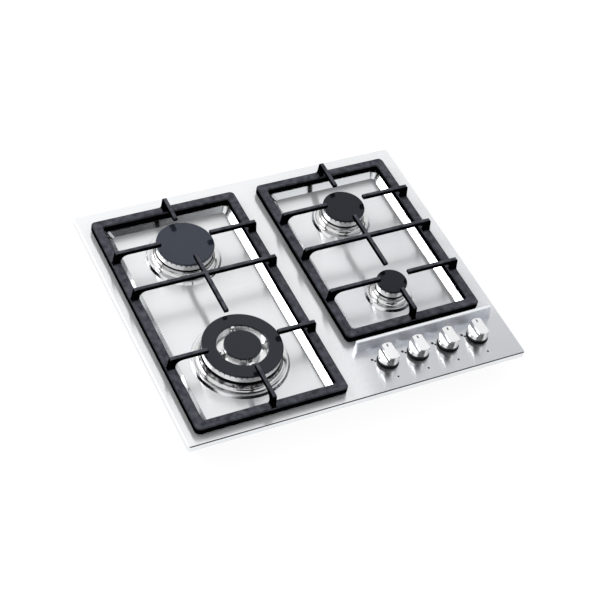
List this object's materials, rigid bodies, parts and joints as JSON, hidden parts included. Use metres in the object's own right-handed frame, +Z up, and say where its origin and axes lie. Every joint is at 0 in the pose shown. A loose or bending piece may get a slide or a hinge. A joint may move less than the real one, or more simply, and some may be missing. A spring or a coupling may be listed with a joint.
{
  "type": "gas cooktop",
  "caption": "Built-in gas cooktop: brushed steel plate with two wells, round burners under two cast pan supports, knobs at the front right, shallow tray below.",
  "frame": {"origin": "middle of the under-tray's flat bottom, below the plate's centre", "axes": "+X to the user's right along the front edge, +Y to the back, +Z up"},
  "size_m": [0.59, 0.5, 0.101],
  "materials": {
    "plate_steel": "brushed stainless",
    "tray_steel": "galvanised sheet",
    "seal_foam": "matt",
    "iron": "matt enamel",
    "foot_rubber": "matt",
    "burner_alloy": "polished",
    "base_alloy": "polished",
    "cap_enamel": "matt black enamel",
    "brass": "turned",
    "screw_steel": "zinc plated",
    "ceramic": "glazed white",
    "probe_steel": "drawn",
    "knob_metal": "satin chrome",
    "black_plastic": "matt",
    "spring_steel": "wire",
    "tube_aluminium": "drawn",
    "module_plastic": "moulded",
    "terminal_plastic": "moulded",
    "guard_steel": "brushed"
  },
  "bodies": {
    "hob_body": {"top_plate": "plate_steel", "worktop_seal": "seal_foam", "under_tray": "tray_steel", "clamp_inserts": "screw_steel", "tray_tabs": "tray_steel", "tray_screws": "screw_steel", "knob_guard": "guard_steel", "guard_screws": "screw_steel", "wok_flame_spreader": "burner_alloy", "injectors": "brass", "spark_electrodes": "ceramic", "thermocouples": "probe_steel", "burner_screws": "screw_steel", "burner_nuts": "screw_steel", "knob_bezels": "black_plastic", "tap_bodies": "brass", "tap_covers": "screw_steel", "tap_screws": "screw_steel", "magnet_units": "screw_steel", "ignition_switches": "black_plastic", "tap_bracket": "tray_steel", "gas_rail": "tube_aluminium", "inlet_elbow": "brass", "inlet_locknut": "brass", "feed_tubes": "tube_aluminium", "ignition_module": "module_plastic", "terminal_block": "terminal_plastic", "cable_grommet": "black_plastic", "wok_burner_base": "base_alloy", "rapid_burner_base": "base_alloy", "rapid_flame_spreader": "burner_alloy", "small_burner_base": "base_alloy", "small_flame_spreader": "burner_alloy", "medium_burner_base": "base_alloy", "medium_flame_spreader": "burner_alloy"},
    "left_support_body": {"left_pan_support": "iron", "left_support_feet": "foot_rubber"},
    "right_support_body": {"right_pan_support": "iron", "right_support_feet": "foot_rubber"},
    "wok_outer_cap_body": {"wok_outer_cap": "cap_enamel"},
    "wok_inner_cap_body": {"wok_inner_cap": "cap_enamel"},
    "rapid_cap_body": {"rapid_cap": "cap_enamel"},
    "small_cap_body": {"small_cap": "cap_enamel"},
    "medium_cap_body": {"medium_cap": "cap_enamel"},
    "wok_plug_body": {"wok_tap_plug": "brass", "wok_return_spring": "spring_steel"},
    "wok_knob_body": {"wok_knob": "knob_metal", "wok_spindle": "screw_steel"},
    "rapid_plug_body": {"rapid_tap_plug": "brass", "rapid_return_spring": "spring_steel"},
    "rapid_knob_body": {"rapid_knob": "knob_metal", "rapid_spindle": "screw_steel"},
    "small_plug_body": {"small_tap_plug": "brass", "small_return_spring": "spring_steel"},
    "small_knob_body": {"small_knob": "knob_metal", "small_spindle": "screw_steel"},
    "medium_plug_body": {"medium_tap_plug": "brass", "medium_return_spring": "spring_steel"},
    "medium_knob_body": {"medium_knob": "knob_metal", "medium_spindle": "screw_steel"}
  },
  "joints": [
    {"name": "left_support_lift", "type": "slide", "parent": "hob_body", "child": "left_support_body", "axis": [0, 0, 1], "range_m": [0, 0.06]},
    {"name": "right_support_lift", "type": "slide", "parent": "hob_body", "child": "right_support_body", "axis": [0, 0, 1], "range_m": [0, 0.06]},
    {"name": "wok_outer_cap_lift", "type": "slide", "parent": "hob_body", "child": "wok_outer_cap_body", "axis": [0, 0, 1], "range_m": [0, 0.003]},
    {"name": "wok_inner_cap_lift", "type": "slide", "parent": "hob_body", "child": "wok_inner_cap_body", "axis": [0, 0, 1], "range_m": [0, 0.004]},
    {"name": "rapid_cap_lift", "type": "slide", "parent": "hob_body", "child": "rapid_cap_body", "axis": [0, 0, 1], "range_m": [0, 0.006]},
    {"name": "small_cap_lift", "type": "slide", "parent": "hob_body", "child": "small_cap_body", "axis": [0, 0, 1], "range_m": [0, 0.006]},
    {"name": "medium_cap_lift", "type": "slide", "parent": "hob_body", "child": "medium_cap_body", "axis": [0, 0, 1], "range_m": [0, 0.006]},
    {"name": "wok_tap_turn", "type": "hinge", "parent": "hob_body", "child": "wok_plug_body", "pos_m": [0.0693, -0.1948, 0.06], "axis": [0, 0, 1], "range_deg": [0, 180]},
    {"name": "wok_knob_push", "type": "slide", "parent": "wok_plug_body", "child": "wok_knob_body", "axis": [0, 0, -1], "range_m": [0, 0.003], "stiffness_N_per_m": 1000, "springref_m": -0.002, "deforming": ["wok_return_spring"]},
    {"name": "rapid_tap_turn", "type": "hinge", "parent": "hob_body", "child": "rapid_plug_body", "pos_m": [0.1241, -0.1948, 0.06], "axis": [0, 0, 1], "range_deg": [0, 180]},
    {"name": "rapid_knob_push", "type": "slide", "parent": "rapid_plug_body", "child": "rapid_knob_body", "axis": [0, 0, -1], "range_m": [0, 0.003], "stiffness_N_per_m": 1000, "springref_m": -0.002, "deforming": ["rapid_return_spring"]},
    {"name": "small_tap_turn", "type": "hinge", "parent": "hob_body", "child": "small_plug_body", "pos_m": [0.1789, -0.1948, 0.06], "axis": [0, 0, 1], "range_deg": [0, 180]},
    {"name": "small_knob_push", "type": "slide", "parent": "small_plug_body", "child": "small_knob_body", "axis": [0, 0, -1], "range_m": [0, 0.003], "stiffness_N_per_m": 1000, "springref_m": -0.002, "deforming": ["small_return_spring"]},
    {"name": "medium_tap_turn", "type": "hinge", "parent": "hob_body", "child": "medium_plug_body", "pos_m": [0.2337, -0.1948, 0.06], "axis": [0, 0, 1], "range_deg": [0, 180]},
    {"name": "medium_knob_push", "type": "slide", "parent": "medium_plug_body", "child": "medium_knob_body", "axis": [0, 0, -1], "range_m": [0, 0.003], "stiffness_N_per_m": 1000, "springref_m": -0.002, "deforming": ["medium_return_spring"]}
  ]
}
